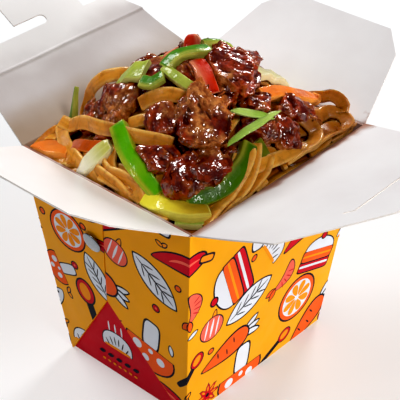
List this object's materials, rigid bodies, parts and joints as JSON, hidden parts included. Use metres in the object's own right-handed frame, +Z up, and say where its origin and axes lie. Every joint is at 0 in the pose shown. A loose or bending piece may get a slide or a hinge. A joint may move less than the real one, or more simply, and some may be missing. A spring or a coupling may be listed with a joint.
{
  "type": "noodle takeaway box",
  "caption": "Open folded-board takeaway carton with hinged locking flaps, heaped with stir-fried flat noodles, glazed meat and vegetables.",
  "frame": {"origin": "middle of the carton's base, on the surface it stands on", "axes": "+Z up; the side walls with the locking flaps face +Y and -Y, the folded end walls face +X and -X"},
  "size_m": [0.1808, 0.2056, 0.1392],
  "materials": {
    "printed_board": "satin",
    "flap_board": "satin",
    "fastener_steel": "polished",
    "noodle": "satin",
    "glazed_meat": "gloss",
    "red_pepper": "gloss",
    "green_vegetable": "gloss",
    "yellow_pepper": "gloss",
    "carrot": "gloss",
    "spring_onion": "gloss",
    "pale_vegetable": "gloss"
  },
  "bodies": {
    "carton": {"cabbage": "pale_vegetable", "carrot_far": "carrot", "carrot_left": "carrot", "carrot_right": "carrot", "carrot_strip_left": "carrot", "carton": "printed_board", "courgette_slice": "green_vegetable", "fastener_left": "fastener_steel", "fastener_right": "fastener_steel", "green_bean": "green_vegetable", "green_leaf_bit": "green_vegetable", "green_pepper_arc": "green_vegetable", "green_pepper_edge": "spring_onion", "green_sliver": "green_vegetable", "green_strip_bright": "green_vegetable", "green_strip_dark": "green_vegetable", "green_strip_far": "green_vegetable", "meat_back_left": "glazed_meat", "meat_centre": "glazed_meat", "meat_crown": "glazed_meat", "meat_edge_left": "glazed_meat", "meat_far_back": "glazed_meat", "meat_far_centre": "glazed_meat", "meat_far_corner": "glazed_meat", "meat_far_right": "glazed_meat", "meat_far_side": "glazed_meat", "meat_front": "glazed_meat", "meat_front_inner": "glazed_meat", "meat_front_left": "glazed_meat", "meat_left": "glazed_meat", "meat_middle_left": "glazed_meat", "meat_nook": "glazed_meat", "meat_peak": "glazed_meat", "meat_right_inner": "glazed_meat", "meat_right_long": "glazed_meat", "meat_right_outer": "glazed_meat", "meat_right_small": "glazed_meat", "meat_top": "glazed_meat", "meat_under_left": "glazed_meat", "noodles": "noodle", "pale_pepper": "pale_vegetable", "red_pepper_bit": "carrot", "red_pepper_far": "red_pepper", "red_pepper_strip": "red_pepper", "red_pepper_tip": "red_pepper", "spring_onion_far": "spring_onion", "spring_onion_long": "spring_onion", "spring_onion_pale": "pale_vegetable", "spring_onion_short": "spring_onion", "yellow_pepper_far": "yellow_pepper", "yellow_pepper_front": "yellow_pepper", "yellow_pepper_rim": "yellow_pepper"},
    "flap_back": {"flap_back": "flap_board"},
    "flap_front": {"flap_front": "flap_board"},
    "flap_left": {"flap_left": "flap_board"},
    "flap_right": {"flap_right": "flap_board"}
  },
  "joints": [
    {"name": "flap_back_crease", "type": "hinge", "parent": "carton", "child": "flap_back", "pos_m": [0, 0.0444, 0.1], "axis": [1, 0, 0], "range_deg": [-106, 64]},
    {"name": "flap_front_crease", "type": "hinge", "parent": "carton", "child": "flap_front", "pos_m": [0, -0.0444, 0.1], "axis": [-1, 0, 0], "range_deg": [-96, 74]},
    {"name": "flap_left_crease", "type": "hinge", "parent": "carton", "child": "flap_left", "pos_m": [-0.0516, 0, 0.1], "axis": [0, 1, 0], "range_deg": [-108, 62]},
    {"name": "flap_right_crease", "type": "hinge", "parent": "carton", "child": "flap_right", "pos_m": [0.0516, 0, 0.1], "axis": [0, -1, 0], "range_deg": [-108, 62]}
  ]
}
